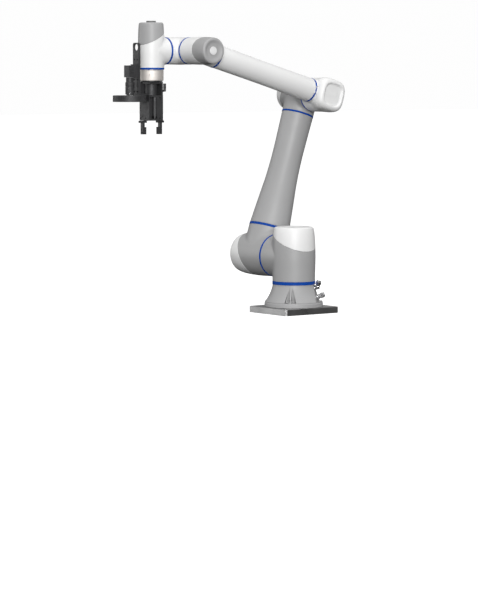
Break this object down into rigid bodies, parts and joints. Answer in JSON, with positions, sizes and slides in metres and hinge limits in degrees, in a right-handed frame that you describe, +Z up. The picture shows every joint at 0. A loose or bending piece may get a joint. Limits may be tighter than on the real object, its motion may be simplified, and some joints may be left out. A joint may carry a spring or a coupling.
{
  "type": "collaborative robot arm",
  "caption": "Jointed collaborative robot arm on a mounting plate, with a parallel gripper, a camera and a ring light at its tool flange.",
  "frame": {"origin": "centre of the mounting plate's underside, on the first joint's axis", "axes": "+Z up along the first joint's axis; the shoulder, elbow and first wrist axes run along +Y; at rest the upper arm leans towards +X and the tool hangs on the -X side"},
  "size_m": [0.8841, 0.4022, 1.04],
  "materials": {
    "grey_shell": "satin",
    "white_shell": "satin",
    "blue_ring": "satin",
    "plate_metal": "satin",
    "flange_metal": "satin",
    "black_tool": "satin",
    "steel": "satin",
    "fingertip_pad": "matte",
    "connector_metal": "polished"
  },
  "bodies": {
    "root": {"mounting_plate": "plate_metal", "base_casting": "grey_shell", "base_bolt_1": "steel", "base_bolt_2": "steel", "base_bolt_3": "steel", "base_bolt_4": "steel", "joint_1_ring": "blue_ring", "joint_1_flange": "steel", "power_connector": "connector_metal", "signal_connector": "connector_metal"},
    "shoulder": {"shoulder_housing": "grey_shell", "shoulder_cap": "white_shell", "joint_1_drive": "steel", "joint_2_ring": "blue_ring", "joint_2_flange": "steel"},
    "upper_arm": {"upper_arm_base_housing": "grey_shell", "upper_arm_base_cap": "white_shell", "joint_2_drive": "steel", "upper_arm_lower_ring": "blue_ring", "upper_arm_tube": "grey_shell", "upper_arm_upper_ring": "blue_ring", "upper_arm_elbow_housing": "grey_shell", "upper_arm_elbow_cap": "white_shell", "joint_3_drive": "steel", "joint_3_ring": "blue_ring"},
    "forearm": {"joint_3_flange": "steel", "elbow_housing": "white_shell", "elbow_cap": "white_shell", "forearm_rear_ring": "blue_ring", "forearm_tube": "white_shell", "forearm_front_ring": "blue_ring", "forearm_wrist_housing": "white_shell", "forearm_wrist_cap": "grey_shell", "joint_4_drive": "steel", "joint_4_ring": "blue_ring"},
    "wrist_1": {"joint_4_flange": "steel", "wrist_1_housing": "white_shell", "wrist_1_cap": "grey_shell", "joint_5_drive": "steel", "joint_5_ring": "blue_ring"},
    "wrist_2": {"joint_5_flange": "steel", "wrist_2_housing": "white_shell", "wrist_2_cap": "grey_shell", "wrist_2_top_disc": "grey_shell", "joint_6_drive": "steel", "joint_6_ring": "blue_ring"},
    "tool": {"tool_flange": "flange_metal", "gripper_adapter": "black_tool", "gripper_body": "black_tool", "gripper_motor": "black_tool", "gripper_connector": "black_tool", "camera_bracket": "black_tool", "camera_body": "black_tool", "camera_lens": "black_tool", "ring_light": "black_tool"},
    "pinion": {"gripper_pinion": "steel"},
    "left_finger": {"finger_left": "black_tool", "fingertip_left": "fingertip_pad"},
    "right_finger": {"finger_right": "black_tool", "fingertip_right": "fingertip_pad"}
  },
  "joints": [
    {"name": "base_turn", "type": "hinge", "parent": "root", "child": "shoulder", "pos_m": [0, 0, 0.1993], "axis": [0, 0, 1], "range_deg": [-360, 360]},
    {"name": "shoulder_lift", "type": "hinge", "parent": "shoulder", "child": "upper_arm", "pos_m": [0, 0.1841, 0.1993], "axis": [0, 1, 0], "range_deg": [-360, 360]},
    {"name": "elbow_bend", "type": "hinge", "parent": "upper_arm", "child": "forearm", "pos_m": [0.18273, 0.0661, 0.77814], "axis": [0, 1, 0], "range_deg": [-50, 250]},
    {"name": "wrist_1_turn", "type": "hinge", "parent": "forearm", "child": "wrist_1", "pos_m": [-0.36313, 0.0661, 0.93518], "axis": [0, 1, 0], "range_deg": [-360, 360]},
    {"name": "wrist_2_turn", "type": "hinge", "parent": "wrist_1", "child": "wrist_2", "pos_m": [-0.36313, 0.191, 0.93518], "axis": [1, 0, 0], "range_deg": [-360, 360]},
    {"name": "wrist_3_turn", "type": "hinge", "parent": "wrist_2", "child": "tool", "pos_m": [-0.48813, 0.191, 0.93518], "axis": [0, 0, 1], "range_deg": [-105, 105]},
    {"name": "left_finger_slide", "type": "slide", "parent": "tool", "child": "left_finger", "axis": [1, 0, 0], "range_m": [0, 0.0235]},
    {"name": "right_finger_slide", "type": "slide", "parent": "tool", "child": "right_finger", "axis": [-1, 0, 0], "range_m": [0, 0.0235]},
    {"name": "pinion_spin", "type": "hinge", "parent": "tool", "child": "pinion", "pos_m": [-0.48813, 0.191, 0.6992], "axis": [0, 0, 1], "range_deg": [-1, 226]}
  ],
  "couplings": [
    {"joint": "right_finger_slide", "follows": "left_finger_slide", "ratio": 1},
    {"joint": "pinion_spin", "follows": "left_finger_slide", "rad_per_m": 166.67}
  ]
}
